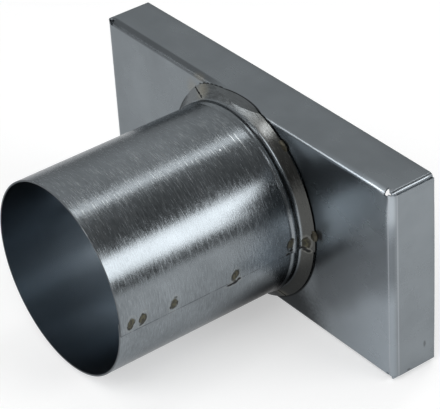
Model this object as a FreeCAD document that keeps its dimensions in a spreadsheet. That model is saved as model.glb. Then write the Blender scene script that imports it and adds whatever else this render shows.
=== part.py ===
import FreeCAD, Part
import math
import os

import Sketcher

# Galvanised sheet cover for a flat rectangular duct, with a round spigot on its face.
# Frame: the face lies in the XZ plane at Y = 0, the spigot points along -Y, the flanges along +Y,
# and the origin is where the spigot's axis meets the face.
# Lengths are in millimetres and angles in degrees, taken round the spigot from +X towards +Z.

SIZES = [
    ("spigot_outside_diameter", 98.8, "rolled tube, slips inside a 100 mm round duct"),
    ("spigot_length", 109.0, "mouth of the spigot to the face"),
    ("spigot_sheet", 0.8, "sheet thickness of the spigot"),
    ("cover_sheet", 0.8, "sheet thickness of the cover"),
    ("cover_width", 220.0, "outside, along X"),
    ("cover_depth", 25.0, "face to the flanges' free edges"),
    ("face_margin", 3.1, "strip of the face above and below the spigot"),
    ("long_bend_radius", 3.0, "outside radius of the bends along the top and the bottom"),
    ("short_bend_radius", 4.0, "outside radius of the bends at the two ends"),
    ("corner_relief", 1.5, "notch between the long bends and the short ones"),
    ("corner_front_gap", 1.0, "from the face's plane to a long flange's end piece"),
    ("tab_bend_radius", 1.9, "outside radius where a long flange turns down into its tab"),
    ("tab_length", 16.0, "tab behind the end flange, from the top or the bottom"),
    ("tab_clearance", 0.12, "between a tab and the end flange in front of it"),
    ("bead_height", 0.6, "swaged bead next to the flare"),
    ("bead_half_width", 2.4, "from the bead's crest to its foot"),
    ("bead_land", 0.4, "straight stretch between the bead and the flare"),
    ("flare_angle", 55.0, "between the flare and the spigot's axis"),
    ("flare_height", 5.6, "from the tube out to the flare's edge"),
    ("flare_bend_radius", 1.0, "outside radius where the tube turns into the flare"),
    ("crown_drop", 0.85, "from the cover's top down to the crease in the flare"),
    ("crown_clearance", 0.05, "between a dressed lip and the bend that it lies on"),
    ("seam_angle", -6.3, "outer edge of the lap seam"),
    ("lap_angle", 9.6, "how far the two ends of the sheet overlap"),
    ("outer_end_angle", 25.0, "where the outer end starts to lift"),
    ("outer_end_rise", 1.38, "offset of the outer end's centre, lifts the edge by 0.2 mm"),
    ("inner_end_angle", -50.0, "where the inner end starts to dive"),
    ("inner_end_dive", 2.7, "offset of the inner end's centre, takes the end under the outer one"),
    ("upper_slit_angle", 118.5, "foot of the flare's upper left slit"),
    ("upper_slit_lean", 58.0, "between that slit and the radius at its foot"),
    ("lower_slit_angle", -56.0, "foot of the flare's lower right slit"),
    ("lower_slit_lean", 0.0, "between that slit and the radius at its foot"),
    ("slit_width", 0.8, "width of each slit"),
]

doc = FreeCAD.newDocument("duct_cover")


class Formula:
    """A number of the sheet, kept together with the expression that gives it."""

    def __init__(self, value, text):
        self.value = value
        self.text = text

    def __add__(self, other):
        other = formula(other)
        return Formula(self.value + other.value, f"({self.text} + {other.text})")

    def __sub__(self, other):
        other = formula(other)
        return Formula(self.value - other.value, f"({self.text} - {other.text})")

    def __mul__(self, other):
        other = formula(other)
        return Formula(self.value * other.value, f"{self.text} * {other.text}")

    def __truediv__(self, other):
        other = formula(other)
        return Formula(self.value / other.value, f"{self.text} / ({other.text})")

    def __neg__(self):
        return Formula(-self.value, f"(-1 * {self.text})")


def formula(number):
    """A plain number as a formula; a formula stays as it is."""
    if isinstance(number, Formula):
        return number
    return Formula(number, f"({number})")


def sine(angle):
    return Formula(math.sin(math.radians(angle.value)), f"sin({angle.text})")


def cosine(angle):
    return Formula(math.cos(math.radians(angle.value)), f"cos({angle.text})")


def tangent(angle):
    return Formula(math.tan(math.radians(angle.value)), f"tan({angle.text})")


def root(number):
    return Formula(math.sqrt(number.value), f"sqrt({number.text})")


def arcsine(ratio):
    return Formula(math.degrees(math.asin(ratio.value)), f"(asin({ratio.text}) / 1 deg)")


def arctangent(ratio):
    return Formula(math.degrees(math.atan(ratio.value)), f"(atan({ratio.text}) / 1 deg)")


def write_sheet():
    """Put the driving dimensions in the spreadsheet and give them back as formulas by name."""
    sheet = doc.addObject("Spreadsheet::Sheet", "Sizes")
    sizes = {}
    for row, (alias, value, note) in enumerate(SIZES, start=1):
        sheet.set(f"A{row}", alias)
        sheet.set(f"B{row}", str(value))
        sheet.set(f"C{row}", note)
        sheet.setAlias(f"B{row}", alias)
        sizes[alias] = Formula(value, f"Sizes.{alias}")
    doc.recompute()
    return sizes


size = write_sheet()
ZERO = formula(0)


def new_body(label):
    body = doc.addObject("PartDesign::Body", label)
    body.Label = label
    return body


def plane_of(body, role):
    """One of a body's own origin planes, such as XZ_Plane."""
    return [item for item in body.Origin.OriginFeatures if item.Role == role][0]


def new_sketch(body, name, role):
    """An empty sketch on one of the body's origin planes."""
    sketch = body.newObject("Sketcher::SketchObject", name)
    sketch.AttachmentSupport = [(plane_of(body, role), "")]
    sketch.MapMode = "FlatFace"
    return sketch


def turn_sketch(sketch, axis, angle):
    """Turn a sketch on its plane's origin, about an axis of that plane, by a formula."""
    placement = FreeCAD.Placement(FreeCAD.Vector(), FreeCAD.Rotation(axis, angle.value))
    sketch.AttachmentOffset = placement
    sketch.setExpression("AttachmentOffset.Rotation.Angle", angle.text)


def dimension(sketch, kind, places, amount):
    """Add a dimension to a sketch and tie it to its formula."""
    number = sketch.addConstraint(Sketcher.Constraint(kind, *places, amount.value))
    sketch.setExpression(f"Constraints[{number}]", amount.text)


def draw_outline(sketch, corners, arcs=()):
    """Draw a closed outline and hold each of its corners.

    corners is a list of (x, y) formulas. arcs maps a corner's number to the radius of the arc
    that runs from it to the next corner, negative where the arc turns clockwise.
    A corner in line with the one before it is held by a vertical or horizontal constraint.
    """
    arcs = dict(arcs)
    points = [FreeCAD.Vector(x.value, y.value, 0) for x, y in corners]
    first = sketch.GeometryCount
    starts = []
    for number, here in enumerate(points):
        there = points[(number + 1) % len(points)]
        if number not in arcs:
            sketch.addGeometry(Part.LineSegment(here, there), False)
            starts.append((1, 2))
            continue
        radius = arcs[number].value
        half = (there - here) / 2
        side = FreeCAD.Vector(-half.y, half.x, 0).normalize()
        reach = math.sqrt(max(radius ** 2 - half.Length ** 2, 0.0))
        centre = here + half + side * math.copysign(reach, radius)
        circle = Part.Circle(centre, FreeCAD.Vector(0, 0, 1), abs(radius))
        ends = [math.atan2(p.y - centre.y, p.x - centre.x) for p in (here, there)]
        if radius > 0:
            sketch.addGeometry(Part.ArcOfCircle(circle, *ends), False)
            starts.append((1, 2))
        else:
            sketch.addGeometry(Part.ArcOfCircle(circle, ends[1], ends[0]), False)
            starts.append((2, 1))

    count = len(corners)
    for number in range(count):
        following = (number + 1) % count
        sketch.addConstraint(Sketcher.Constraint(
            "Coincident", first + number, starts[number][1], first + following, starts[following][0]))
    for number, (x, y) in enumerate(corners):
        place = (first + number, starts[number][0])
        before = (number - 1) % count
        last = (first + before, starts[before][0])
        for axis, kind, aligned in ((0, "DistanceX", "Vertical"), (1, "DistanceY", "Horizontal")):
            if number and corners[number][axis].text == corners[before][axis].text:
                sketch.addConstraint(Sketcher.Constraint(aligned, *last, *place))
            elif abs(corners[number][axis].value) < 1e-9:
                axis_line = -2 if axis == 0 else -1
                sketch.addConstraint(Sketcher.Constraint("PointOnObject", *place, axis_line))
            else:
                dimension(sketch, kind, (-1, 1, *place), corners[number][axis])
    for number, radius in arcs.items():
        amount = radius if radius.value > 0 else -radius
        dimension(sketch, "Radius", (first + number,), amount)


def pad(body, sketch, name, length, both_ways=False, backwards=False):
    feature = body.newObject("PartDesign::Pad", name)
    feature.Profile = sketch
    feature.Midplane = both_ways
    feature.Reversed = backwards
    feature.Length = length.value
    feature.setExpression("Length", length.text)
    doc.recompute()
    return feature


def cut(body, sketch, name, length, both_ways=False, backwards=False):
    feature = body.newObject("PartDesign::Pocket", name)
    feature.Profile = sketch
    feature.Midplane = both_ways
    feature.Reversed = backwards
    feature.Length = length.value
    feature.setExpression("Length", length.text)
    doc.recompute()
    return feature


# Values that several features share
cover_height = size["spigot_outside_diameter"] + size["face_margin"] * 2
half_height = cover_height / 2
half_width = size["cover_width"] / 2
tube_radius = size["spigot_outside_diameter"] / 2
flare_radius = tube_radius + size["flare_height"]
flare_front = -(size["spigot_sheet"] * sine(size["flare_angle"]))


# Cover: one folded sheet, a face with four flanges and four corner tabs

def end_flange(sketch, side):
    """Section of one end flange with its bend into the face, seen along Z."""
    wall = size["cover_sheet"]
    bend = size["short_bend_radius"]
    outside = half_width * side
    inside = (half_width - wall) * side
    foot = (half_width - bend) * side
    corners = [(outside, size["cover_depth"]), (outside, bend), (foot, ZERO), (foot, wall),
               (inside, bend), (inside, size["cover_depth"])]
    turn = -side
    draw_outline(sketch, corners, {1: bend * turn, 3: (bend - wall) * -turn})


def long_flange(sketch, side):
    """Section of the top or bottom flange with its bend into the face, seen along X."""
    wall = size["cover_sheet"]
    bend = size["long_bend_radius"]
    outside = half_height * side
    inside = (half_height - wall) * side
    foot = (half_height - bend) * side
    corners = [(size["cover_depth"], outside), (bend, outside), (ZERO, foot), (wall, foot),
               (bend, inside), (size["cover_depth"], inside)]
    draw_outline(sketch, corners, {1: bend * side, 3: (bend - wall) * -side})


def end_piece(sketch, side, level):
    """Section of a long flange's end piece with its bend into the tab, seen along Y."""
    wall = size["cover_sheet"]
    bend = size["tab_bend_radius"]
    start = (half_width - size["short_bend_radius"] - size["corner_relief"]) * side
    outside = (half_width - wall - size["tab_clearance"]) * side
    inside = (half_width - wall * 2 - size["tab_clearance"]) * side
    bend_start = (half_width - wall - size["tab_clearance"] - bend) * side
    top = half_height * level
    under = (half_height - wall) * level
    bend_end = (half_height - bend) * level
    corners = [(start, top), (bend_start, top), (outside, bend_end), (inside, bend_end),
               (bend_start, under), (start, under)]
    turn = -side * level
    draw_outline(sketch, corners, {1: bend * turn, 3: (bend - wall) * -turn})


def corner_tab(sketch, side, level):
    """Section of the tab that runs on from an end piece behind the end flange, seen along Y."""
    wall = size["cover_sheet"]
    outside = (half_width - wall - size["tab_clearance"]) * side
    inside = (half_width - wall * 2 - size["tab_clearance"]) * side
    bend_end = (half_height - size["tab_bend_radius"]) * level
    end = (half_height - size["tab_length"]) * level
    draw_outline(sketch, [(outside, bend_end), (outside, end), (inside, end), (inside, bend_end)])


def build_cover():
    body = new_body("cover")
    wall = size["cover_sheet"]
    face_x = half_width - size["short_bend_radius"]
    face_z = half_height - size["long_bend_radius"]

    face = new_sketch(body, "face_outline", "XZ_Plane")
    draw_outline(face, [(-face_x, -face_z), (face_x, -face_z), (face_x, face_z), (-face_x, face_z)])
    pad(body, face, "face", wall, backwards=True)

    ends = new_sketch(body, "end_flange_sections", "XY_Plane")
    for side in (1, -1):
        end_flange(ends, side)
    pad(body, ends, "end_flanges", cover_height - size["tab_bend_radius"] * 2, both_ways=True)

    longs = new_sketch(body, "long_flange_sections", "YZ_Plane")
    for side in (1, -1):
        long_flange(longs, side)
    long_length = (face_x - size["corner_relief"]) * 2
    pad(body, longs, "long_flanges", long_length, both_ways=True)

    # An end piece comes close to the face, but its tab starts behind the end flange's bend.
    for name, section, front in (("end_piece", end_piece, size["corner_front_gap"]),
                                 ("corner_tab", corner_tab, size["short_bend_radius"])):
        sections = new_sketch(body, name + "_sections", "XZ_Plane")
        sections.AttachmentOffset = FreeCAD.Placement(FreeCAD.Vector(0, 0, -1), FreeCAD.Rotation())
        sections.setExpression("AttachmentOffset.Base.z", (-front).text)
        for side in (1, -1):
            for level in (1, -1):
                section(sections, side, level)
        pad(body, sections, name + "s", size["cover_depth"] - front, backwards=True)

    hole = new_sketch(body, "hole_outline", "XZ_Plane")
    hole_radius = tube_radius - size["spigot_sheet"]
    hole.addGeometry(Part.Circle(FreeCAD.Vector(), FreeCAD.Vector(0, 0, 1), hole_radius.value), False)
    hole.addConstraint(Sketcher.Constraint("Coincident", 0, 3, -1, 1))
    dimension(hole, "Radius", (0,), hole_radius)
    cut(body, hole, "hole", wall * 2)
    return body


# Spigot: one rolled sheet with a lap seam, a bead and a flare that rests on the face

def wall_corners():
    """Section through the rolled wall: tube, bead and flare. X is the radius, Y the axis."""
    wall = size["spigot_sheet"]
    rise = size["bead_height"]
    half = size["bead_half_width"]
    bend = size["flare_bend_radius"]
    lean = size["flare_angle"]
    inside = tube_radius - wall
    mouth = -size["spigot_length"]
    # The bead's side is two arcs of one radius, tangent where they meet half-way up.
    round_ = (half * half + rise * rise) / (rise * 4)
    hollow = round_ + wall
    bend_y = flare_front - size["flare_height"] / tangent(lean) - bend * tangent(lean / 2)
    foot_right = bend_y - size["bead_land"]
    crest = foot_right - half
    foot_left = crest - half
    outer_side = tube_radius + rise / 2
    inner_side = tube_radius + round_ - hollow * (round_ * 2 - rise) / (round_ * 2)
    inner_reach = hollow * half / (round_ * 2)
    flare_x = tube_radius + bend
    corners = [
        (tube_radius, mouth),
        (tube_radius, foot_left),
        (outer_side, crest - half / 2),
        (outer_side, crest + half / 2),
        (tube_radius, foot_right),
        (tube_radius, bend_y),
        (flare_x - bend * cosine(lean), bend_y + bend * sine(lean)),
        (flare_radius, flare_front),
        (flare_radius - wall * cosine(lean), ZERO),
        (flare_x - (bend + wall) * cosine(lean), bend_y + (bend + wall) * sine(lean)),
        (inside, bend_y),
        (inside, foot_right),
        (inner_side, foot_right - inner_reach),
        (inner_side, foot_left + inner_reach),
        (inside, foot_left),
        (inside, mouth),
    ]
    arcs = {1: -round_, 2: round_, 3: -round_, 5: -bend,
            9: bend + wall, 11: hollow, 12: -(round_ - wall), 13: hollow}
    return corners, arcs


def roll_wall(body, name, start, sweep, centre_shift=None, backwards=False):
    """Sweep the wall's section round the axis, from the start angle through the sweep.

    centre_shift moves the centre of the turn along the section's own radius, so that the end of
    the sheet leaves the circle without a kink. A positive shift brings the sheet inwards.
    """
    section = new_sketch(body, f"{name}_section", "XY_Plane")
    turn_sketch(section, FreeCAD.Vector(0, 1, 0), -start)
    corners, arcs = wall_corners()
    draw_outline(section, corners, arcs)
    mouth = corners[0][1].value
    shift = centre_shift.value if centre_shift else 0.0
    line = section.addGeometry(
        Part.LineSegment(FreeCAD.Vector(shift, 0, 0), FreeCAD.Vector(shift, mouth, 0)), True)
    section.addConstraint(Sketcher.Constraint("Vertical", line))
    section.addConstraint(Sketcher.Constraint("PointOnObject", line, 1, -1))
    if centre_shift:
        dimension(section, "DistanceX", (-1, 1, line, 1), centre_shift)
    else:
        section.addConstraint(Sketcher.Constraint("PointOnObject", line, 2, -2))
    dimension(section, "DistanceY", (line, 2, line, 1), size["spigot_length"])
    feature = body.newObject("PartDesign::Revolution", name)
    feature.Profile = section
    feature.ReferenceAxis = (section, ["Axis0"])
    feature.Angle = sweep.value
    feature.setExpression("Angle", sweep.text)
    feature.Reversed = backwards
    doc.recompute()
    return feature


def slit_flare(body, name, angle, lean):
    """A narrow straight slit through the flare only, which may lean away from the radius."""
    sketch = new_sketch(body, f"{name}_outline", "XZ_Plane")
    turn_sketch(sketch, FreeCAD.Vector(0, 0, 1), angle)
    half = size["slit_width"] / 2 / cosine(lean)
    inner = tube_radius + size["flare_bend_radius"]
    outer = flare_radius + size["flare_height"]
    drift = (outer - inner) * tangent(lean)
    draw_outline(sketch, [(inner, -half), (outer, drift - half), (outer, drift + half), (inner, half)])
    depth = size["flare_height"] / tangent(size["flare_angle"]) - flare_front
    return cut(body, sketch, name, depth, backwards=True)


def crown_sketch(body, name, crease, slope):
    """A sketch on the plane of the dressed lip. Its X axis lies along the crease."""
    sketch = new_sketch(body, name, "XY_Plane")
    place = FreeCAD.Vector(0, crease[0].value, crease[1].value)
    turn = FreeCAD.Rotation(FreeCAD.Vector(1, 0, 0), slope.value)
    sketch.AttachmentOffset = FreeCAD.Placement(place, turn)
    sketch.setExpression("AttachmentOffset.Base.y", crease[0].text)
    sketch.setExpression("AttachmentOffset.Base.z", crease[1].text)
    sketch.setExpression("AttachmentOffset.Rotation.Angle", slope.text)
    return sketch


def dress_crown(body):
    """Flatten the flare's crown back over the cover's top bend, and the same at the bottom."""
    wall = size["spigot_sheet"]
    bend = size["long_bend_radius"]
    crease_z = half_height - size["crown_drop"]
    crease_y = flare_front - (flare_radius - crease_z) / tangent(size["flare_angle"])
    # The lip runs straight from the crease to where it touches the cover's bend.
    reach = bend - crease_y
    fall = crease_z - (half_height - bend)
    seat = bend + size["crown_clearance"] + wall
    span = root(reach * reach + fall * fall)
    slope = arcsine(seat / span) - arctangent(fall / reach)
    lip_length = root(span * span - seat * seat)
    # Half of the crease, from the crown's middle to the flare's edge.
    edge_rise = (flare_front - crease_y) / cosine(slope)
    edge_z = crease_z + edge_rise * sine(slope)
    half_crease = root(flare_radius * flare_radius - edge_z * edge_z)
    half_lip = half_crease - wall / 2

    crown = crown_sketch(body, "crown_outline", (crease_y, crease_z), slope)
    draw_outline(crown, [(-flare_radius, ZERO), (flare_radius, ZERO),
                         (flare_radius, lip_length), (-flare_radius, lip_length)])
    crown_cut = cut(body, crown, "crown_cut", size["flare_height"], backwards=True)

    lip = crown_sketch(body, "lip_outline", (crease_y, crease_z), slope)
    front = edge_rise - wall / 2
    rear = lip_length - edge_rise
    draw_outline(lip, [(-half_lip, edge_rise), (half_lip, edge_rise)],
                 {0: (half_lip * half_lip + front * front) / (front * 2),
                  1: (half_lip * half_lip + rear * rear) / (rear * 2)})
    lip_pad = pad(body, lip, "lip", wall, backwards=True)

    lower = body.newObject("PartDesign::Mirrored", "lower_crown")
    lower.Originals = [crown_cut, lip_pad]
    lower.MirrorPlane = (plane_of(body, "XY_Plane"), [""])
    body.Tip = lower
    doc.recompute()


def build_spigot():
    body = new_body("spigot")
    outer_end = size["outer_end_angle"]
    inner_end = size["inner_end_angle"]
    roll_wall(body, "rolled_wall", outer_end, formula(360) - (outer_end - inner_end))
    roll_wall(body, "outer_end", outer_end, outer_end - size["seam_angle"],
              centre_shift=-size["outer_end_rise"], backwards=True)
    roll_wall(body, "inner_end", inner_end,
              size["seam_angle"] + size["lap_angle"] - inner_end,
              centre_shift=size["inner_end_dive"])
    slit_flare(body, "upper_slit", size["upper_slit_angle"], size["upper_slit_lean"])
    slit_flare(body, "lower_slit", size["lower_slit_angle"], size["lower_slit_lean"])
    dress_crown(body)
    return body


def check(bodies):
    """Stop if a feature failed or a piece isn't one sound solid."""
    for item in doc.Objects:
        if "Invalid" in item.State or "Error" in item.State:
            raise RuntimeError(f"{item.Name} did not build: {item.State}")
        if item.TypeId == "Sketcher::SketchObject" and not item.FullyConstrained:
            raise RuntimeError(f"{item.Name} is not fully constrained")
    for body in bodies:
        shape = body.Shape
        if shape.isNull() or not shape.isValid() or len(shape.Solids) != 1:
            raise RuntimeError(f"{body.Label} is not one valid solid")


pieces = [build_cover(), build_spigot()]
doc.recompute()
check(pieces)
os.makedirs("parts", exist_ok=True)
for piece in pieces:
    piece.Shape.exportStep(f"parts/{piece.Label}.step")
    box = piece.Shape.BoundBox
    print(f"{piece.Label}: volume {piece.Shape.Volume:.1f} mm3, "
          f"x {box.XMin:.2f} to {box.XMax:.2f}, y {box.YMin:.2f} to {box.YMax:.2f}, "
          f"z {box.ZMin:.2f} to {box.ZMax:.2f}, faces {len(piece.Shape.Faces)}")
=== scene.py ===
import math

import bpy
from mathutils import Matrix, Vector


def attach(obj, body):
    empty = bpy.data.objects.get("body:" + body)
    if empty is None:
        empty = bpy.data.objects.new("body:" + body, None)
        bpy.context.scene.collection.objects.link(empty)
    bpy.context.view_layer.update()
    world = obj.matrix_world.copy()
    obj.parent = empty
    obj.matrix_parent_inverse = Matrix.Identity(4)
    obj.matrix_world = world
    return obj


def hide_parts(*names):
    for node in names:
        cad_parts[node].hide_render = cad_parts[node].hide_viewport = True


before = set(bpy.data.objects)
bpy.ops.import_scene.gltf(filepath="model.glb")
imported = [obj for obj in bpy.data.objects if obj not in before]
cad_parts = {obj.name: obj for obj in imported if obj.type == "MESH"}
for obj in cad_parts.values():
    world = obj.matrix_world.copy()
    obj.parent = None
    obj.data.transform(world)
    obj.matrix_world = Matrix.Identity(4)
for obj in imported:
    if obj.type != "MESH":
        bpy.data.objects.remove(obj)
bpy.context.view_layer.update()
scene = bpy.context.scene
scene.view_settings.view_transform = "Standard"


# The photograph's view: a long lens looks down on the spigot's mouth and the cover's right end. Lengths
# are in metres: the cover's face is the plane Y = 0, the spigot points along -Y and Z is up.

view_azimuth = math.radians(54.57)
view_elevation = math.radians(33.77)
view_roll = math.radians(-3.71)
view_target = Vector((-0.0208, 0, -0.0179))
view_distance = 1.0917
focal_pixels = 2190
photo_width = 440
sensor_width = 36

backwards = Vector((math.sin(view_azimuth) * math.cos(view_elevation),
                    -math.cos(view_azimuth) * math.cos(view_elevation),
                    math.sin(view_elevation)))
level_right = Vector((math.cos(view_azimuth), math.sin(view_azimuth), 0))
level_up = backwards.cross(level_right)
right = level_right * math.cos(view_roll) + level_up * math.sin(view_roll)
upwards = level_up * math.cos(view_roll) - level_right * math.sin(view_roll)
camera_data = bpy.data.cameras.new("camera")
camera_data.sensor_width = sensor_width
camera_data.lens = focal_pixels / photo_width * sensor_width
camera = bpy.data.objects.new("camera", camera_data)
scene.collection.objects.link(camera)
camera.matrix_world = (Matrix.Translation(view_target + backwards * view_distance)
                       @ Matrix((right, upwards, backwards)).transposed().to_4x4())
scene.camera = camera


# Floor and studio light: a pale floor, a grey room that is lighter on the left, and four soft boxes. The
# back right one draws the broad bright band down the spigot, the overhead one the thin band above it. The
# front left one lights the bend along the cover's top, and the key box lights the floor and the face.

floor_level = -0.0533
floor_size = 3.0
floor_tone = (0.66, 0.66, 0.66, 1)
floor_roughness = 0.9
floor_specular = 0.1
floor_glow = 0.46
room_tone = (0.97, 0.98, 0.98, 1)
room_left = -0.7
room_right = 0.35
room_left_strength = 0.70
room_right_strength = 0.19
room_horizon_share = 0.62
room_full_height = 0.45


def arithmetic(tree, operation, first, second=0, clamp=False):
    """One maths node; either side may be a socket or a number."""
    node = tree.nodes.new("ShaderNodeMath")
    node.operation = operation
    node.use_clamp = clamp
    for socket, value in zip(node.inputs, (first, second)):
        if isinstance(value, (int, float)):
            socket.default_value = value
        else:
            tree.links.new(value, socket)
    return node.outputs[0]


def product(tree, first, second):
    """Two values multiplied; of two masks, the place where both are."""
    return arithmetic(tree, "MULTIPLY", first, second)


def greater(tree, first, second):
    """The higher of two values; of two masks, the place where either is."""
    return arithmetic(tree, "MAXIMUM", first, second)


bpy.ops.object.select_all(action="DESELECT")
bpy.ops.mesh.primitive_plane_add(size=floor_size, location=(0, 0, floor_level))
floor = bpy.context.object
floor.name = "floor"
floor_paint = bpy.data.materials.new("floor_paint")
floor_paint.use_nodes = True
floor_tree = floor_paint.node_tree
floor_shader = floor_tree.nodes["Principled BSDF"]
floor_shader.inputs["Base Color"].default_value = floor_tone
floor_shader.inputs["Roughness"].default_value = floor_roughness
floor_shader.inputs["Specular IOR Level"].default_value = floor_specular
# The camera and the metal see the floor as a white sweep, and it still takes the object's shadow.
floor_ray = floor_tree.nodes.new("ShaderNodeLightPath")
floor_seen = greater(floor_tree, floor_ray.outputs["Is Camera Ray"], floor_ray.outputs["Is Glossy Ray"])
floor_tree.links.new(product(floor_tree, floor_seen, floor_glow), floor_shader.inputs["Emission Strength"])
floor.data.materials.append(floor_paint)

room = bpy.data.worlds.new("room")
room.use_nodes = True
room_tree = room.node_tree
room_light = room_tree.nodes["Background"]
room_light.inputs["Color"].default_value = room_tone
room_direction = room_tree.nodes.new("ShaderNodeTexCoord")
room_split = room_tree.nodes.new("ShaderNodeSeparateXYZ")
room_side = room_tree.nodes.new("ShaderNodeMapRange")
room_side.inputs["From Min"].default_value = room_left
room_side.inputs["From Max"].default_value = room_right
room_side.inputs["To Min"].default_value = room_left_strength
room_side.inputs["To Max"].default_value = room_right_strength
room_height = room_tree.nodes.new("ShaderNodeMapRange")
room_height.inputs["From Max"].default_value = room_full_height
room_height.inputs["To Min"].default_value = room_horizon_share
room_tree.links.new(room_direction.outputs["Generated"], room_split.inputs[0])
room_tree.links.new(room_split.outputs["X"], room_side.inputs["Value"])
room_tree.links.new(room_split.outputs["Z"], room_height.inputs["Value"])
room_strength = product(room_tree, room_side.outputs["Result"], room_height.outputs["Result"])
room_tree.links.new(room_strength, room_light.inputs["Strength"])
scene.world = room


def hang_soft_box(name, direction, distance, width, height, radiance):
    """A rectangular lamp that faces the object; its radiance is what a mirror would show."""
    lamp_data = bpy.data.lights.new(name, "AREA")
    lamp_data.shape = "RECTANGLE"
    lamp_data.size = width
    lamp_data.size_y = height
    lamp_data.energy = radiance * math.pi * width * height
    lamp = bpy.data.objects.new(name, lamp_data)
    scene.collection.objects.link(lamp)
    away = Vector(direction).normalized()
    lamp.location = away * distance
    lamp.rotation_euler = away.to_track_quat("Z", "Y").to_euler()


hang_soft_box("back_right_box", (0.775, 0.48, 0.412), distance=1.6, width=1.1, height=0.62, radiance=4.4)
hang_soft_box("overhead_box", (-0.15, 0.48, 0.865), distance=1.6, width=0.2, height=1.5, radiance=2.8)
hang_soft_box("front_left_box", (-0.45, -0.85, 0.27), distance=1.7, width=0.9, height=0.5, radiance=3.9)
hang_soft_box("key_box", (0.32, -0.55, 0.77), distance=1.8, width=1.5, height=0.9, radiance=3.0)


# Cover: one galvanised sheet, cut out flat and folded on a brake: a face, a flange on each side, and at
# each corner a tab that the long flange turns down behind the end flange.

cover_width = 0.220
cover_height = 0.105
cover_depth = 0.025
sheet = 0.0008
long_bend = 0.003
short_bend = 0.004
corner_relief = 0.0015
corner_front = 0.001
tab_bend = 0.0019
tab_length = 0.016
tab_clearance = 0.00012
duct_hole_radius = 0.0486
edge_ease = 0.00012
edge_ease_angle = math.radians(55)
cover_smooth_angle = math.radians(30)
bend_steps = 8
hole_facets = 180
hole_punch_depth = 0.01
snap = 0.00002
face_x = cover_width / 2 - short_bend
face_z = cover_height / 2 - long_bend
fold_x = face_x - corner_relief
end_flange_z = cover_height / 2 - tab_bend
tab_x = cover_width / 2 - sheet - tab_clearance
turn_x = tab_x - tab_bend


def start_piece(name):
    """Name the primitive that was just added, put its place into its mesh and open it for editing."""
    piece = bpy.context.object
    piece.name = name
    bpy.ops.object.transform_apply(location=True, rotation=True, scale=True)
    bpy.ops.object.mode_set(mode="EDIT")
    return piece


def pick(piece, kind, test):
    """In edit mode, select the vertices, edges or faces whose every corner passes the test."""
    bpy.ops.mesh.select_mode(type=kind)
    bpy.ops.mesh.select_all(action="DESELECT")
    bpy.ops.object.mode_set(mode="OBJECT")
    mesh = piece.data
    chosen = {"VERT": mesh.vertices, "EDGE": mesh.edges, "FACE": mesh.polygons}[kind]
    for item in chosen:
        corners = [item.index] if kind == "VERT" else item.vertices
        item.select = all(test(mesh.vertices[corner].co) for corner in corners)
    bpy.ops.object.mode_set(mode="EDIT")


def fold_up(angle, centre, axis, flat):
    """Bend the selected edge of the sheet round its centre by the right-hand rule, then run it on
    flat. With no window, spin turns the other way, so it is given the opposite angle."""
    bpy.ops.mesh.spin(steps=bend_steps, angle=-angle, center=centre, axis=axis)
    bpy.ops.mesh.extrude_region_move(TRANSFORM_OT_translate={"value": flat})


def join_sheet(piece, merge_reach, is_sample, outward):
    """Merge the doubles and turn the modelled side outwards, by a face whose outward side is known."""
    bpy.ops.mesh.select_all(action="SELECT")
    bpy.ops.mesh.remove_doubles(threshold=merge_reach)
    bpy.ops.mesh.normals_make_consistent(inside=False)
    bpy.ops.object.mode_set(mode="OBJECT")
    sample = next(polygon for polygon in piece.data.polygons if is_sample(polygon.center))
    if sample.normal.dot(outward(sample.center)) < 0:
        bpy.ops.object.mode_set(mode="EDIT")
        bpy.ops.mesh.select_all(action="SELECT")
        bpy.ops.mesh.flip_normals()
        bpy.ops.object.mode_set(mode="OBJECT")


def thicken(piece):
    """Give the sheet its thickness, inwards from the modelled side."""
    wall = piece.modifiers.new("thickness", "SOLIDIFY")
    wall.thickness = sheet
    wall.offset = -1
    wall.use_even_offset = True
    bpy.ops.object.modifier_apply(modifier="thickness")


bpy.ops.object.select_all(action="DESELECT")
bpy.ops.mesh.primitive_plane_add(size=1, rotation=(math.pi / 2, 0, 0))
bpy.context.object.scale = (face_x * 2, face_z * 2, 1)
cover = start_piece("cover_sheet")
for cut_x in (-fold_x, fold_x):
    bpy.ops.mesh.select_all(action="SELECT")
    bpy.ops.mesh.bisect(plane_co=(cut_x, 0, 0), plane_no=(1, 0, 0))
for side in (1, -1):
    pick(cover, "EDGE", lambda co: abs(co.x - side * face_x) < snap and co.y < snap)
    fold_up(math.pi / 2 * side, (side * face_x, short_bend, 0), (0, 0, 1),
            (0, cover_depth - short_bend, 0))
for side in (1, -1):
    pick(cover, "EDGE", lambda co: abs(co.z - side * face_z) < snap and abs(co.x) < fold_x + snap)
    fold_up(-math.pi / 2 * side, (0, long_bend, side * face_z), (1, 0, 0),
            (0, cover_depth - long_bend, 0))
for side in (1, -1):
    for level in (1, -1):
        pick(cover, "EDGE", lambda co: abs(co.x - side * fold_x) < snap and co.y > long_bend - snap
             and abs(co.z - level * cover_height / 2) < snap)
        bpy.ops.mesh.extrude_region_move(
            TRANSFORM_OT_translate={"value": (side * (turn_x - fold_x), 0, 0)})
        fold_up(math.pi / 2 * side * level, (side * turn_x, 0, level * (cover_height / 2 - tab_bend)),
                (0, 1, 0), (0, 0, -level * (tab_length - tab_bend)))
bpy.ops.object.mode_set(mode="OBJECT")
for vertex in cover.data.vertices:
    if abs(vertex.co.x) > face_x + snap and abs(abs(vertex.co.z) - face_z) < snap:
        vertex.co.z = math.copysign(end_flange_z, vertex.co.z)
    if abs(vertex.co.x) > fold_x + snap and abs(vertex.co.y - long_bend) < snap:
        vertex.co.y = corner_front

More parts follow.
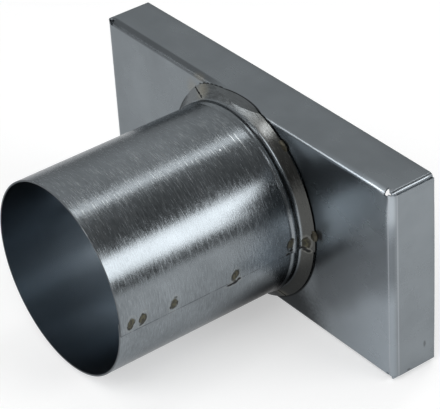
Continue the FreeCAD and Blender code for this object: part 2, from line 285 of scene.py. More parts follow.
# Behind the end flange's bend there is no room for the tab, so its front is cut away.
bpy.ops.object.mode_set(mode="EDIT")
pick(cover, "FACE", lambda co: abs(abs(co.x) - tab_x) < snap and abs(co.z) < end_flange_z + snap)
bpy.ops.mesh.bisect(plane_co=(0, short_bend, 0), plane_no=(0, 1, 0))
pick(cover, "FACE", lambda co: abs(abs(co.x) - tab_x) < snap and abs(co.z) < end_flange_z + snap
     and co.y < short_bend + snap)
bpy.ops.mesh.delete(type="FACE")

# Lines across the sheet, at these millimetres, so that its panels can bow a little as real ones do.
for direction, cuts in (((1, 0, 0), range(-98, 99, 7)), ((0, 0, 1), range(-42, 43, 7)),
                        ((0, 1, 0), (9, 15, 20))):
    for cut in cuts:
        bpy.ops.mesh.select_all(action="SELECT")
        bpy.ops.mesh.bisect(plane_co=Vector(direction) * (cut / 1000), plane_no=direction)
join_sheet(cover, merge_reach=0.000001, is_sample=lambda co: abs(co.y) < snap,
           outward=lambda co: Vector((0, -1, 0)))

top_bow = 0.0006
bottom_bow = 0.0009
bottom_bow_x = 0.020
bottom_bow_reach = 0.055
end_bow = 0.00025
panel_wave = 0.00012
long_flange_z = face_z + 0.002
end_flange_x = face_x + 0.003
end_bow_z = end_flange_z - 0.012
for vertex in cover.data.vertices:
    x, y, z = vertex.co
    free = max(0.0, (y - long_bend) / (cover_depth - long_bend))
    if abs(z) > long_flange_z and abs(x) < fold_x:
        if z > 0:
            vertex.co.z += top_bow * free * math.cos(x / fold_x * math.pi / 2)
        else:
            vertex.co.z += bottom_bow * free * math.exp(-((x - bottom_bow_x) / bottom_bow_reach) ** 2)
    if y < snap:
        hold = max(0.0, 1 - (abs(x) / face_x) ** 6) * max(0.0, 1 - (abs(z) / face_z) ** 6)
        vertex.co.y += panel_wave * hold * (math.sin(x * 61 + 0.7) + math.sin(z * 83 - x * 37)) * 0.5
    if abs(x) > end_flange_x and abs(z) < end_bow_z:
        vertex.co.x += math.copysign(end_bow, x) * free * math.cos(z / end_flange_z * math.pi / 2)

thicken(cover)
eased_edges = cover.modifiers.new("eased_edges", "BEVEL")
eased_edges.width = edge_ease
eased_edges.segments = 2
eased_edges.limit_method = "ANGLE"
eased_edges.angle_limit = edge_ease_angle
bpy.ops.object.modifier_apply(modifier="eased_edges")

bpy.ops.object.select_all(action="DESELECT")
bpy.ops.mesh.primitive_cylinder_add(vertices=hole_facets, radius=duct_hole_radius,
                                    depth=hole_punch_depth, rotation=(math.pi / 2, 0, 0))
hole_punch = bpy.context.object
bpy.ops.object.select_all(action="DESELECT")
cover.select_set(True)
bpy.context.view_layer.objects.active = cover
hole = cover.modifiers.new("hole", "BOOLEAN")
hole.object = hole_punch
hole.operation = "DIFFERENCE"
hole.solver = "EXACT"
bpy.ops.object.modifier_apply(modifier="hole")
bpy.data.objects.remove(hole_punch)
bpy.ops.object.shade_smooth_by_angle(angle=cover_smooth_angle)


def new_group(name, inputs, outputs):
    """An empty node group with the given sockets; returns its tree, its input and its output node."""
    tree = bpy.data.node_groups.new(name, "ShaderNodeTree")
    for label, kind, value in inputs:
        socket = tree.interface.new_socket(label, in_out="INPUT", socket_type=kind)
        if value is not None:
            socket.default_value = value
    for label, kind in outputs:
        tree.interface.new_socket(label, in_out="OUTPUT", socket_type=kind)
    return tree, tree.nodes.new("NodeGroupInput"), tree.nodes.new("NodeGroupOutput")


def stretched_noise(tree, vector, stretch, scale, detail, roughness=0.55):
    """Noise on coordinates that are first stretched; returns its value output."""
    mapping = tree.nodes.new("ShaderNodeMapping")
    mapping.inputs["Scale"].default_value = stretch
    noise = tree.nodes.new("ShaderNodeTexNoise")
    noise.inputs["Scale"].default_value = scale
    noise.inputs["Detail"].default_value = detail
    noise.inputs["Roughness"].default_value = roughness
    tree.links.new(vector, mapping.inputs["Vector"])
    tree.links.new(mapping.outputs["Vector"], noise.inputs["Vector"])
    return noise.outputs["Fac"]


def ramp_between(tree, value, low, high, out_low=0.0, out_high=1.0):
    """Map a value from low..high to out_low..out_high with a soft start and end."""
    node = tree.nodes.new("ShaderNodeMapRange")
    node.interpolation_type = "SMOOTHSTEP"
    node.inputs["From Min"].default_value = low
    node.inputs["From Max"].default_value = high
    node.inputs["To Min"].default_value = out_low
    node.inputs["To Max"].default_value = out_high
    tree.links.new(value, node.inputs["Value"])
    return node.outputs["Result"]


def fade_out(tree, value, low, high):
    """1 up to low, falling softly to 0 at high."""
    return ramp_between(tree, value, low, high, 1.0, 0.0)


def ridge(tree, value, centre, inner, outer):
    """1 where the value is within inner of the centre, and 0 where it is outer or more away."""
    off = arithmetic(tree, "ABSOLUTE", arithmetic(tree, "SUBTRACT", value, centre))
    return fade_out(tree, off, inner, outer)


def vector_arithmetic(tree, operation, first, second=None):
    """One vector maths node; either side may be a socket or a plain vector."""
    node = tree.nodes.new("ShaderNodeVectorMath")
    node.operation = operation
    for socket, value in zip(node.inputs, (first, second)):
        if isinstance(value, (tuple, Vector)):
            socket.default_value = value
        elif value is not None:
            tree.links.new(value, socket)
    return node.outputs["Value" if operation in ("LENGTH", "DOT_PRODUCT") else "Vector"]


def split(tree, vector):
    """The X, Y and Z of a vector."""
    node = tree.nodes.new("ShaderNodeSeparateXYZ")
    tree.links.new(vector, node.inputs[0])
    return node.outputs["X"], node.outputs["Y"], node.outputs["Z"]


def axis_distance(tree, place):
    """How far a point is from the spigot's axis."""
    return vector_arithmetic(tree, "LENGTH", vector_arithmetic(tree, "MULTIPLY", place, (1, 0, 1)))


def mix_colours(tree, factor, below, above):
    """Mix two colours; each may be a socket or a plain colour."""
    node = tree.nodes.new("ShaderNodeMix")
    node.data_type = "RGBA"
    tree.links.new(factor, node.inputs["Factor"])
    for label, colour in (("A", below), ("B", above)):
        if isinstance(colour, tuple):
            node.inputs[label].default_value = (*colour, 1)
        else:
            tree.links.new(colour, node.inputs[label])
    return node.outputs["Result"]


def lay_tints(tree, colour, layers):
    """Lay each (mask, strength, colour) over the colour below it, in turn."""
    for mask, strength, layer_colour in layers:
        amount = arithmetic(tree, "MULTIPLY", mask, strength, clamp=True)
        colour = mix_colours(tree, amount, colour, layer_colour)
    return colour


def make_zinc_skin():
    """Zinc coat on rolled sheet: faint cloudy patches, and fine rolling grain that is dull in some
    lines and bright in others."""
    tree, given, result = new_group(
        "zinc_skin",
        [("Vector", "NodeSocketVector", None),
         ("Grain Vector", "NodeSocketVector", None),
         ("Dark", "NodeSocketColor", (0.174, 0.192, 0.205, 1)),
         ("Light", "NodeSocketColor", (0.255, 0.280, 0.299, 1)),
         ("Grain", "NodeSocketFloat", 0.5),
         ("Roughness", "NodeSocketFloat", 0.3)],
        [("Color", "NodeSocketColor"), ("Roughness", "NodeSocketFloat"),
         ("Height", "NodeSocketFloat")])
    clouds = stretched_noise(tree, given.outputs["Vector"], (1, 1, 1), scale=32, detail=3)
    grain = stretched_noise(tree, given.outputs["Grain Vector"], (1, 1, 1), scale=1, detail=4,
                            roughness=0.7)
    grain_part = product(tree, arithmetic(tree, "SUBTRACT", grain, 0.5), given.outputs["Grain"])
    cloud_part = arithmetic(tree, "SUBTRACT", clouds, 0.5)
    tone = arithmetic(tree, "ADD", product(tree, cloud_part, 0.8), grain_part)
    tone = ramp_between(tree, tone, -0.4, 0.4)
    colour = mix_colours(tree, tone, given.outputs["Dark"], given.outputs["Light"])
    smear = product(tree, cloud_part, 0.12)
    streak = product(tree, grain_part, 0.45)
    rough = arithmetic(tree, "ADD", given.outputs["Roughness"], smear)
    rough = arithmetic(tree, "ADD", rough, streak, clamp=True)
    tree.links.new(colour, result.inputs["Color"])
    tree.links.new(rough, result.inputs["Roughness"])
    tree.links.new(grain_part, result.inputs["Height"])
    return tree


zinc_skin = make_zinc_skin()
low_angle_shine = (0.67, 0.68, 0.69)
grain_depth = 0.0001


def metal_material(name, grain_scale, grain, roughness, bump):
    """A galvanised metal; returns the material with its shader, its zinc group and its place."""
    material = bpy.data.materials.new(name)
    material.use_nodes = True
    nodes, links = material.node_tree.nodes, material.node_tree.links
    shader = nodes["Principled BSDF"]
    shader.inputs["Metallic"].default_value = 1.0
    shader.inputs["Specular Tint"].default_value = (*low_angle_shine, 1)
    place = nodes.new("ShaderNodeTexCoord")
    grain_place = nodes.new("ShaderNodeMapping")
    grain_place.inputs["Scale"].default_value = grain_scale
    links.new(place.outputs["Object"], grain_place.inputs["Vector"])
    skin = nodes.new("ShaderNodeGroup")
    skin.node_tree = zinc_skin
    skin.inputs["Grain"].default_value = grain
    skin.inputs["Roughness"].default_value = roughness
    links.new(place.outputs["Object"], skin.inputs["Vector"])
    links.new(grain_place.outputs["Vector"], skin.inputs["Grain Vector"])
    relief = nodes.new("ShaderNodeBump")
    relief.inputs["Strength"].default_value = bump
    relief.inputs["Distance"].default_value = grain_depth
    links.new(skin.outputs["Height"], relief.inputs["Height"])
    links.new(relief.outputs["Normal"], shader.inputs["Normal"])
    return material, shader, skin, place.outputs["Object"]


def make_patch():
    """A ragged round patch on the metal. Core is its middle, Rim is a broken line round it and Halo
    is a faint ring outside that. With Lean, the patch slants along the spigot."""
    tree, given, result = new_group(
        "patch",
        [("Vector", "NodeSocketVector", None),
         ("Centre", "NodeSocketVector", None),
         ("Reach", "NodeSocketVector", (0.002, 0.002, 0.002)),
         ("Lean", "NodeSocketFloat", 0.0),
         ("Ragged", "NodeSocketFloat", 0.6),
         ("Softness", "NodeSocketFloat", 0.3)],
        [("Core", "NodeSocketFloat"), ("Rim", "NodeSocketFloat"), ("Halo", "NodeSocketFloat")])
    away_x, away_y, away_z = split(tree, vector_arithmetic(
        tree, "SUBTRACT", given.outputs["Vector"], given.outputs["Centre"]))
    leaning = tree.nodes.new("ShaderNodeCombineXYZ")
    tree.links.new(away_x, leaning.inputs["X"])
    tree.links.new(away_y, leaning.inputs["Y"])
    tree.links.new(arithmetic(tree, "SUBTRACT", away_z, product(tree, away_y, given.outputs["Lean"])),
                   leaning.inputs["Z"])
    share = vector_arithmetic(tree, "DIVIDE", leaning.outputs["Vector"], given.outputs["Reach"])
    wobble = stretched_noise(tree, given.outputs["Vector"], (1, 1, 1), scale=620, detail=3)
    wobble = product(tree, arithmetic(tree, "SUBTRACT", wobble, 0.5), given.outputs["Ragged"])
    distance = arithmetic(tree, "ADD", vector_arithmetic(tree, "LENGTH", share), wobble)
    edge = tree.nodes.new("ShaderNodeMapRange")
    edge.interpolation_type = "SMOOTHSTEP"
    edge.inputs["From Max"].default_value = 1.0
    edge.inputs["To Min"].default_value = 1.0
    edge.inputs["To Max"].default_value = 0.0
    tree.links.new(distance, edge.inputs["Value"])
    tree.links.new(arithmetic(tree, "SUBTRACT", 1.0, given.outputs["Softness"]), edge.inputs["From Min"])
    tree.links.new(edge.outputs["Result"], result.inputs["Core"])
    broken = stretched_noise(tree, given.outputs["Vector"], (1, 1, 1), scale=330, detail=1)
    ring = product(tree, ramp_between(tree, distance, 0.5, 0.85), fade_out(tree, distance, 0.98, 1.15))
    tree.links.new(product(tree, ring, ramp_between(tree, broken, 0.4, 0.54)), result.inputs["Rim"])
    halo = product(tree, ramp_between(tree, distance, 1.0, 1.2), fade_out(tree, distance, 1.25, 1.6))
    tree.links.new(halo, result.inputs["Halo"])
    return tree


patch = make_patch()


def place_patches(tree, place, spots, ragged, softness, lean=0.0):
    """Place one patch for each (centre, reach)."""
    marks = []
    for centre, reach in spots:
        mark = tree.nodes.new("ShaderNodeGroup")
        mark.node_tree = patch
        for label, value in (("Centre", centre), ("Reach", reach), ("Lean", lean),
                             ("Ragged", ragged), ("Softness", softness)):
            mark.inputs[label].default_value = value
        tree.links.new(place, mark.inputs["Vector"])
        marks.append(mark)
    return marks


def highest(tree, marks, output):
    """The highest value that any of the patches puts out."""
    value = marks[0].outputs[output]
    for mark in marks[1:]:
        value = greater(tree, value, mark.outputs[output])
    return value


def dab(tree, place, spots, ragged, softness):
    """A mask of soft dabs, one for each (centre, reach)."""
    return highest(tree, place_patches(tree, place, spots, ragged, softness), "Core")


cover_zinc, cover_shader, cover_skin, cover_place = metal_material(
    "cover_zinc", grain_scale=(18, 260, 260), grain=0.06, roughness=0.27, bump=0.015)
cover_tree = cover_zinc.node_tree
cover_x, cover_y, cover_z = split(cover_tree, cover_place)
cover_side = arithmetic(cover_tree, "ABSOLUTE", cover_x)
cover_level = arithmetic(cover_tree, "ABSOLUTE", cover_z)
scorch = dab(cover_tree, cover_place, [
    ((0.0582, 0, 0.0040), (0.0036, 0.0005, 0.0050))], ragged=0.7, softness=0.7)
smudge = dab(cover_tree, cover_place, [
    ((0.110, 0.0189, -0.0395), (0.001, 0.0013, 0.0022)),
    ((0.110, 0.0089, -0.0497), (0.001, 0.0016, 0.0009))], ragged=1.2, softness=0.8)
cover_straw = dab(cover_tree, cover_place, [
    ((-0.0375, 0, 0.0425), (0.0065, 0.002, 0.0075)),
    ((-0.0315, 0.001, 0.0505), (0.0065, 0.003, 0.0030))], ragged=0.3, softness=0.9)
# A painted shadow lies in the gap between the face and the flare's edge. On the long bends the edge of
# each crown is a flat curve, and the painted shadow runs along that too, as it does at the upper slit and
# the splayed edge.
flare_edge_radius = 0.0553
crown_edge_y = 0.0029
crown_edge_curve = 9.3
from_axis = axis_distance(cover_tree, cover_place)
gap_shadow = product(cover_tree, ridge(cover_tree, from_axis, flare_edge_radius, 0.00030, 0.00075),
                   fade_out(cover_tree, cover_y, 0.0002, 0.0006))
crown_line = arithmetic(cover_tree, "ADD", cover_y, product(
    cover_tree, product(cover_tree, cover_side, cover_side), crown_edge_curve))
crown_edge_shadow = product(cover_tree, ridge(cover_tree, crown_line, crown_edge_y, 0.0002, 0.0006),
                     ramp_between(cover_tree, cover_level, 0.0500, 0.0506))
slit_shadow = dab(cover_tree, cover_place, [
    ((-0.0302, 0, 0.0392), (0.0018, 0.0005, 0.0018)),
    ((-0.0320, 0, 0.0416), (0.0018, 0.0005, 0.0018)),
    ((-0.0338, 0, 0.0438), (0.0018, 0.0005, 0.0018))], ragged=0.4, softness=0.5)
splayed_edge_shadow = dab(cover_tree, cover_place, [
    ((-0.0300, 0.0000, 0.0475), (0.0020, 0.0006, 0.0012)),
    ((-0.0268, 0.0001, 0.0494), (0.0022, 0.0006, 0.0010)),
    ((-0.0241, 0.0003, 0.0502), (0.0022, 0.0006, 0.0010)),
    ((-0.0216, 0.0005, 0.0508), (0.0022, 0.0007, 0.0010)),
    ((-0.0185, 0.0009, 0.0513), (0.0024, 0.0007, 0.0009)),
    ((-0.0152, 0.0013, 0.0517), (0.0024, 0.0007, 0.0009))], ragged=0.3, softness=0.5)
for more_shadow in (crown_edge_shadow, slit_shadow, splayed_edge_shadow):
    gap_shadow = greater(cover_tree, gap_shadow, more_shadow)
# A bright line on each side of the bends at the two ends: burnish from the brake, and a painted highlight
# where the bends catch the light.
burnish_and_highlight = greater(cover_tree, ridge(cover_tree, cover_side, 0.1068, 0.0001, 0.0005),
              product(cover_tree, ridge(cover_tree, cover_y, 0.0031, 0.0001, 0.0005),
                      ramp_between(cover_tree, cover_side, 0.1085, 0.1090)))
burnish_and_highlight = product(cover_tree, burnish_and_highlight, fade_out(cover_tree, cover_y, 0.0036, 0.0040))
# A painted sheen: the face is lighter and bluer towards one end.
painted_end_sheen = product(cover_tree, ramp_between(cover_tree, cover_x, 0.040, 0.100),
                fade_out(cover_tree, cover_y, 0.0004, 0.0030))
# A painted reflection: a lighter band along a slanting, slightly wavy line beside the spigot. Below that
# line the face is painted dark as shade, darkest under the spigot. The back of the face is left plain.
reflection_band_slope = 0.78
reflection_band_crossing_x = 0.060 / reflection_band_slope
reflection_band_sway = 0.02
on_face = fade_out(cover_tree, split(cover_tree, cover_place.node.outputs["Normal"])[1], -0.7, -0.2)
reflection_band_line = arithmetic(cover_tree, "SUBTRACT", cover_z, product(
    cover_tree, arithmetic(cover_tree, "SUBTRACT", cover_x, reflection_band_crossing_x), reflection_band_slope))
reflection_band_wave = arithmetic(cover_tree, "SUBTRACT", stretched_noise(
    cover_tree, cover_place, (1, 1, 1), scale=26, detail=2), 0.5)
reflection_band_line = arithmetic(cover_tree, "ADD", reflection_band_line, product(cover_tree, reflection_band_wave, reflection_band_sway))
painted_reflection_band = product(cover_tree, ridge(cover_tree, reflection_band_line, 0.025, 0.009, 0.018),
                ramp_between(cover_tree, cover_x, 0.056, 0.070))
painted_reflection_band = product(cover_tree, painted_reflection_band, on_face)
painted_shade_band = product(cover_tree, ridge(cover_tree, reflection_band_line, -0.010, 0.006, 0.025),
                ramp_between(cover_tree, cover_x, 0.046, 0.058))
painted_shade_band = product(cover_tree, painted_shade_band, on_face)
painted_shade_below = dab(cover_tree, cover_place, [
    ((0.030, 0, -0.052), (0.040, 0.003, 0.030))], ragged=0.3, softness=0.65)
painted_shade_below = product(cover_tree, painted_shade_below, on_face)
# Painted shade: the long bends are darker at the other end.
bend_shade = product(cover_tree, ramp_between(cover_tree, cover_level, 0.0492, 0.0499),
                   fade_out(cover_tree, cover_y, 0.0026, 0.0036))
bend_shade = product(cover_tree, bend_shade, fade_out(cover_tree, cover_x, -0.028, -0.008))
cover_colour = lay_tints(cover_tree, cover_skin.outputs["Color"], (
    (painted_end_sheen, 0.45, (0.40, 0.45, 0.50)),
    (painted_reflection_band, 0.45, (0.56, 0.61, 0.65)),
    (painted_shade_band, 0.53, (0.05, 0.055, 0.06)),
    (painted_shade_below, 0.88, (0.02, 0.021, 0.022)),
    (bend_shade, 0.55, (0.04, 0.044, 0.049)),
    (cover_straw, 0.3, (0.26, 0.235, 0.18)),
    (burnish_and_highlight, 0.5, (0.40, 0.42, 0.45)),
    (smudge, 0.4, (0.09, 0.09, 0.09)),
    (scorch, 0.9, (0.026, 0.024, 0.021)),
    (gap_shadow, 0.93, (0.012, 0.013, 0.013))))
cover_tree.links.new(cover_colour, cover_shader.inputs["Base Color"])
burnt_roughness = 0.35
cover_rough = product(cover_tree, greater(cover_tree, scorch, smudge), burnt_roughness)
cover_rough = arithmetic(cover_tree, "ADD", cover_rough, cover_skin.outputs["Roughness"], clamp=True)
cover_tree.links.new(cover_rough, cover_shader.inputs["Roughness"])
cover.data.materials.clear()
cover.data.materials.append(cover_zinc)
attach(cover, "root")
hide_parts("cover")


# Spigot: a strip of the same sheet, rolled to a tube, lapped and spot-welded along one side. A bead is
# swaged in next to its root and the root is flared, so that the flare's edge bears on the face.

tube_radius = 0.0494
tube_length = 0.109
flare_angle = math.radians(55)
flare_height = 0.0056
flare_bend = 0.001
bead_height = 0.0006
bead_half_width = 0.0024
bead_land = 0.0004
outer_end_angle = math.radians(25)
outer_end_rise = 0.00138
inner_end_angle = math.radians(-50)
inner_end_dive = 0.0027
seam_angle = math.radians(-6.3)
lap_angle = math.radians(9.6)
flare_radius = tube_radius + flare_height
flare_front = -sheet * math.sin(flare_angle)
flare_start = flare_front - flare_height / math.tan(flare_angle) - flare_bend * math.tan(flare_angle / 2)
bead_crest = flare_start - bead_land - bead_half_width
tube_rings = 47
tube_ring_spacing = 0.002
bead_rings = 12
flare_bend_rings = 4
flare_rings = 5
seed_size = 0.001
spigot_smooth_angle = math.radians(35)

# The wall's line from the mouth to the flare's edge, as distances from the axis and places along it.
wall_line = [(tube_radius, -tube_length + step * tube_ring_spacing) for step in range(tube_rings + 1)]
for step in range(bead_rings + 1):
    along = 2 * step / bead_rings - 1
    wall_line.append((tube_radius + bead_height * (1 + math.cos(math.pi * along)) / 2,
                      bead_crest + along * bead_half_width))
wall_line.append((tube_radius, flare_start))
for step in range(1, flare_bend_rings + 1):
    turn = flare_angle * step / flare_bend_rings
    wall_line.append((tube_radius + flare_bend * (1 - math.cos(turn)),
                      flare_start + flare_bend * math.sin(turn)))
bend_end = wall_line[-1]
for step in range(1, flare_rings + 1):
    wall_line.append((bend_end[0] + (flare_radius - bend_end[0]) * step / flare_rings,
                      bend_end[1] + (flare_front - bend_end[1]) * step / flare_rings))


def around(angle):
    """Unit vector out from the axis at an angle round the spigot, from +X towards +Z."""
    return Vector((math.cos(angle), 0, math.sin(angle)))


bpy.ops.object.select_all(action="DESELECT")
bpy.ops.mesh.primitive_plane_add(size=seed_size)
spigot = start_piece("spigot_sheet")
pick(spigot, "VERT", lambda co: co.x > 0 or co.y > 0)
bpy.ops.mesh.delete(type="VERT")
bpy.ops.mesh.select_all(action="SELECT")
start = around(outer_end_angle) * wall_line[0][0] + Vector((0, wall_line[0][1], 0))
bpy.ops.transform.translate(value=start - Vector((-seed_size / 2, -seed_size / 2, 0)))
for before, after in zip(wall_line, wall_line[1:]):
    step_out = around(outer_end_angle) * (after[0] - before[0]) + Vector((0, after[1] - before[1], 0))
    bpy.ops.mesh.extrude_region_move(TRANSFORM_OT_translate={"value": step_out})


def roll_on(angle, centre):
    """Roll the sheet on from its selected end; a positive angle goes from +X towards +Z."""
    steps = max(8, round(abs(math.degrees(angle))))
    bpy.ops.mesh.spin(steps=steps, angle=-angle, center=centre, axis=(0, -1, 0))


bpy.ops.mesh.select_all(action="SELECT")
roll_on(math.tau - (outer_end_angle - inner_end_angle), (0, 0, 0))
roll_on(seam_angle + lap_angle - inner_end_angle, around(inner_end_angle) * inner_end_dive)
outer_plane = Vector((-math.sin(outer_end_angle), 0, math.cos(outer_end_angle)))
pick(spigot, "EDGE", lambda co: abs(co.dot(outer_plane)) < snap and co.dot(around(outer_end_angle)) > 0)
roll_on(seam_angle - outer_end_angle, around(outer_end_angle) * -outer_end_rise)

# Next to its upper slit the flare is opened out a little further than elsewhere.
splay = 0.0017
splay_angle = math.radians(123)
splay_reach = math.radians(24)
bpy.ops.object.mode_set(mode="OBJECT")
for vertex in spigot.data.vertices:
    radius = math.hypot(vertex.co.x, vertex.co.z)
    off = abs(math.atan2(vertex.co.z, vertex.co.x) - splay_angle) / splay_reach
    if vertex.co.y > flare_start and off < 1:
        share = max(0.0, (radius - tube_radius) / flare_height)
        vertex.co += Vector((vertex.co.x, 0, vertex.co.z)) / radius * (
            splay * share * math.cos(off * math.pi / 2) ** 2)
bpy.ops.object.mode_set(mode="EDIT")

# Two slits let the flare open without tearing. Each has a foot angle and a lean from the radius.
slit_width = 0.0008
slit_foot = tube_radius + flare_bend
slit_side_reach = 0.006
slit_back_reach = 0.004
slit_front_reach = 0.018
for slit_angle, slit_lean in ((math.radians(118.5), math.radians(58)), (math.radians(-56), 0.0)):
    foot = around(slit_angle) * slit_foot
    along = around(slit_angle + slit_lean)
    across = around(slit_angle + slit_lean + math.pi / 2)

    def in_flare(co):
        """Whether a point lies in the flare near this slit."""
        beyond = co - foot
        return (co.y > flare_start + flare_bend / 2 and abs(beyond.dot(across)) < slit_side_reach
                and -slit_back_reach < beyond.dot(along) < slit_front_reach)

    for half in (-slit_width / 2, slit_width / 2):
        pick(spigot, "FACE", in_flare)
        bpy.ops.mesh.bisect(plane_co=foot + across * half, plane_no=across)
    pick(spigot, "FACE", lambda co: in_flare(co) and (co - foot).dot(along) > -snap * 10
         and abs((co - foot).dot(across)) < slit_width / 2 + snap)
    bpy.ops.mesh.delete(type="FACE")

# The flare is wider than the cover is high, so its two crowns are hammered back over the bends.
crown_drop = 0.00085
crown_clearance = 0.00005
crown_root = tube_radius * 0.85
crease_z = cover_height / 2 - crown_drop
crease_y = flare_front - (flare_radius - crease_z) / math.tan(flare_angle)
crown_reach = long_bend - crease_y
crown_fall = crease_z - face_z
crown_seat = long_bend + crown_clearance + sheet
crown_span = math.hypot(crown_reach, crown_fall)
lip_slope = math.asin(crown_seat / crown_span) - math.atan2(crown_fall, crown_reach)
lip_length = math.sqrt(crown_span ** 2 - crown_seat ** 2)
lip_stretch = lip_length / ((flare_radius - crease_z) / math.sin(flare_angle))
for level in (1, -1):
    crease = Vector((0, crease_y, level * crease_z))
    lip_normal = Vector((0, -math.sin(lip_slope), level * math.cos(lip_slope)))
    lip_run = Vector((0, math.cos(lip_slope), level * math.sin(lip_slope)))
    pick(spigot, "FACE", lambda co: co.y > flare_start and co.z * level > crown_root)
    bpy.ops.mesh.bisect(plane_co=crease, plane_no=lip_normal)
    bpy.ops.object.mode_set(mode="OBJECT")
    for vertex in spigot.data.vertices:
        above = (vertex.co - crease).dot(lip_normal)
        if vertex.co.y < crease_y - snap or above <= 0 or vertex.co.z * level < 0:
            continue
        outward = Vector((vertex.co.x, 0, vertex.co.z)).normalized()
        wall_run = outward * math.sin(flare_angle) + Vector((0, math.cos(flare_angle), 0))
        beyond = above / wall_run.dot(lip_normal)
        vertex.co += (lip_run * lip_stretch - wall_run) * beyond
    bpy.ops.object.mode_set(mode="EDIT")

join_sheet(spigot, merge_reach=0.000002, is_sample=lambda co: co.y < -tube_length / 2,
           outward=lambda co: Vector((co.x, 0, co.z)))
thicken(spigot)
bpy.ops.object.shade_smooth_by_angle(angle=spigot_smooth_angle)

spigot_zinc, spigot_shader, spigot_skin, spigot_place = metal_material(
    "spigot_zinc", grain_scale=(250, 1500, 250), grain=1.0, roughness=0.22, bump=0.5)
spigot_skin.inputs["Dark"].default_value = (0.137, 0.152, 0.162, 1)
spigot_skin.inputs["Light"].default_value = (0.262, 0.288, 0.307, 1)
spigot_tree = spigot_zinc.node_tree
along_axis = split(spigot_tree, spigot_place)[1]


def on_wall(y, angle, radius=49.5):
    """A point on the spigot, from millimetres along the axis and degrees round it."""
    return around(math.radians(angle)) * (radius / 1000) + Vector((0, y / 1000, 0))


def towards(angle):
    """How far a point of the spigot lies out in a direction, given in degrees round the axis."""
    return vector_arithmetic(spigot_tree, "DOT_PRODUCT", spigot_place, around(math.radians(angle)))


# The rolls marked the outside only, so the inside, where the surface faces the axis, is smooth.
inside_grain = 0.03
facing = vector_arithmetic(spigot_tree, "DOT_PRODUCT", spigot_place, spigot_place.node.outputs["Normal"])
inside_only = fade_out(spigot_tree, facing, -0.01, 0.01)
spigot_tree.links.new(ramp_between(spigot_tree, inside_only, 0.0, 1.0, 1.0, inside_grain),
                      spigot_skin.inputs["Grain"])
# Five spot welds hold the lap, and one more lies in the flare.
welds = place_patches(spigot_tree, spigot_place, [
    (on_wall(-103.3, -0.9), (0.004, 0.0023, 0.0028)),
    (on_wall(-96.7, -1.5), (0.004, 0.0023, 0.0028)),
    (on_wall(-79.3, -1.7), (0.004, 0.0023, 0.0031)),
    (on_wall(-43.9, -2.9), (0.004, 0.0023, 0.0028)),
    (on_wall(-11.0, -0.6), (0.004, 0.0021, 0.0030)),
    (on_wall(-3.3, -2.6, 51.4), (0.0030, 0.0020, 0.0032))], ragged=0.55, softness=0.35, lean=0.45)
weld_spots = highest(spigot_tree, welds, "Core")
# Black marks lie along the lap next to the fourth weld and at the bead, and along the upper slit's edges.
black_marks = place_patches(spigot_tree, spigot_place, [
    (on_wall(-46.0, -8.5, 48.6), (0.003, 0.0028, 0.0014)),
    (on_wall(-43.6, -8.2, 48.6), (0.003, 0.0028, 0.0018)),
    (on_wall(-41.8, -7.0, 48.8), (0.003, 0.0015, 0.0015)),
    (on_wall(-12.4, -6.6, 49.0), (0.003, 0.0017, 0.0012)),
    (on_wall(-10.7, -4.7), (0.003, 0.0014, 0.0010)),
    (on_wall(-4.2, -6.0, 50.6), (0.0030, 0.0013, 0.0009)),
    (on_wall(-3.1, -7.3, 51.5), (0.0030, 0.0014, 0.0010)),
    (on_wall(-2.3, -7.8, 52.6), (0.0030, 0.0010, 0.0012)),
    ((-0.0258, -0.0034, 0.0444), (0.0018, 0.0016, 0.0007)),
    ((-0.0285, -0.0027, 0.0446), (0.0018, 0.0016, 0.0007)),
    ((-0.0312, -0.0019, 0.0447), (0.0020, 0.0016, 0.0007))], ragged=0.3, softness=0.4)
black_marks_outside = product(spigot_tree, highest(spigot_tree, black_marks, "Core"),
                         fade_out(spigot_tree, inside_only, 0.0, 1.0))
# Scratches run round the tube, light where they cut the dull coat.
scratches = dab(spigot_tree, spigot_place, [
    (on_wall(-15.3, 64), (0.009, 0.00030, 0.009)),
    (on_wall(-17.6, 70), (0.005, 0.00022, 0.005)),
    (on_wall(-27.0, 66), (0.0009, 0.0007, 0.0009)),
    (on_wall(-10.8, 27), (0.0045, 0.00018, 0.0045))], ragged=0.15, softness=0.7)
scuffs = stretched_noise(spigot_tree, spigot_place, (170, 2600, 170), scale=1, detail=1)
scuffs = product(spigot_tree, ramp_between(spigot_tree, scuffs, 0.60, 0.68),
                 ramp_between(spigot_tree, towards(70), 0.043, 0.0485))
scuffs = product(spigot_tree, scuffs, fade_out(spigot_tree, along_axis, -0.013, -0.0105))
spigot_straw = dab(spigot_tree, spigot_place, [
    (on_wall(-2.0, 119, 53.5), (0.0080, 0.0060, 0.0075)),
    (on_wall(-2.0, -56, 53.0), (0.0050, 0.0050, 0.0050))], ragged=0.3, softness=0.9)
# A painted highlight: the flare is lighter in one place.
flare_highlight = dab(spigot_tree, spigot_place, [
    (on_wall(-2.0, 63, 53.0), (0.0070, 0.0060, 0.0062))], ragged=0.3, softness=0.9)
# Painted shade: the flare is darker, most towards +X, and dark lines lie in the grooves on both sides of
# the bead.
flare_shade = product(spigot_tree, ramp_between(spigot_tree, along_axis, -0.0045, -0.0039),
                     ramp_between(spigot_tree, towards(0), 0.002, 0.024, 0.5, 1.0))
groove_shade = greater(spigot_tree, ridge(spigot_tree, along_axis, -0.0106, 0.0001, 0.0009),
                      ridge(spigot_tree, along_axis, -0.0054, 0.0001, 0.0006))
# A painted highlight: the tube is lighter towards +X, next to the bead.
bead_side_highlight = product(spigot_tree, ramp_between(spigot_tree, along_axis, -0.042, -0.022),
                     ramp_between(spigot_tree, towards(0), 0.0464, 0.0489))
bead_side_highlight = product(spigot_tree, bead_side_highlight, fade_out(spigot_tree, along_axis, -0.0112, -0.0104))
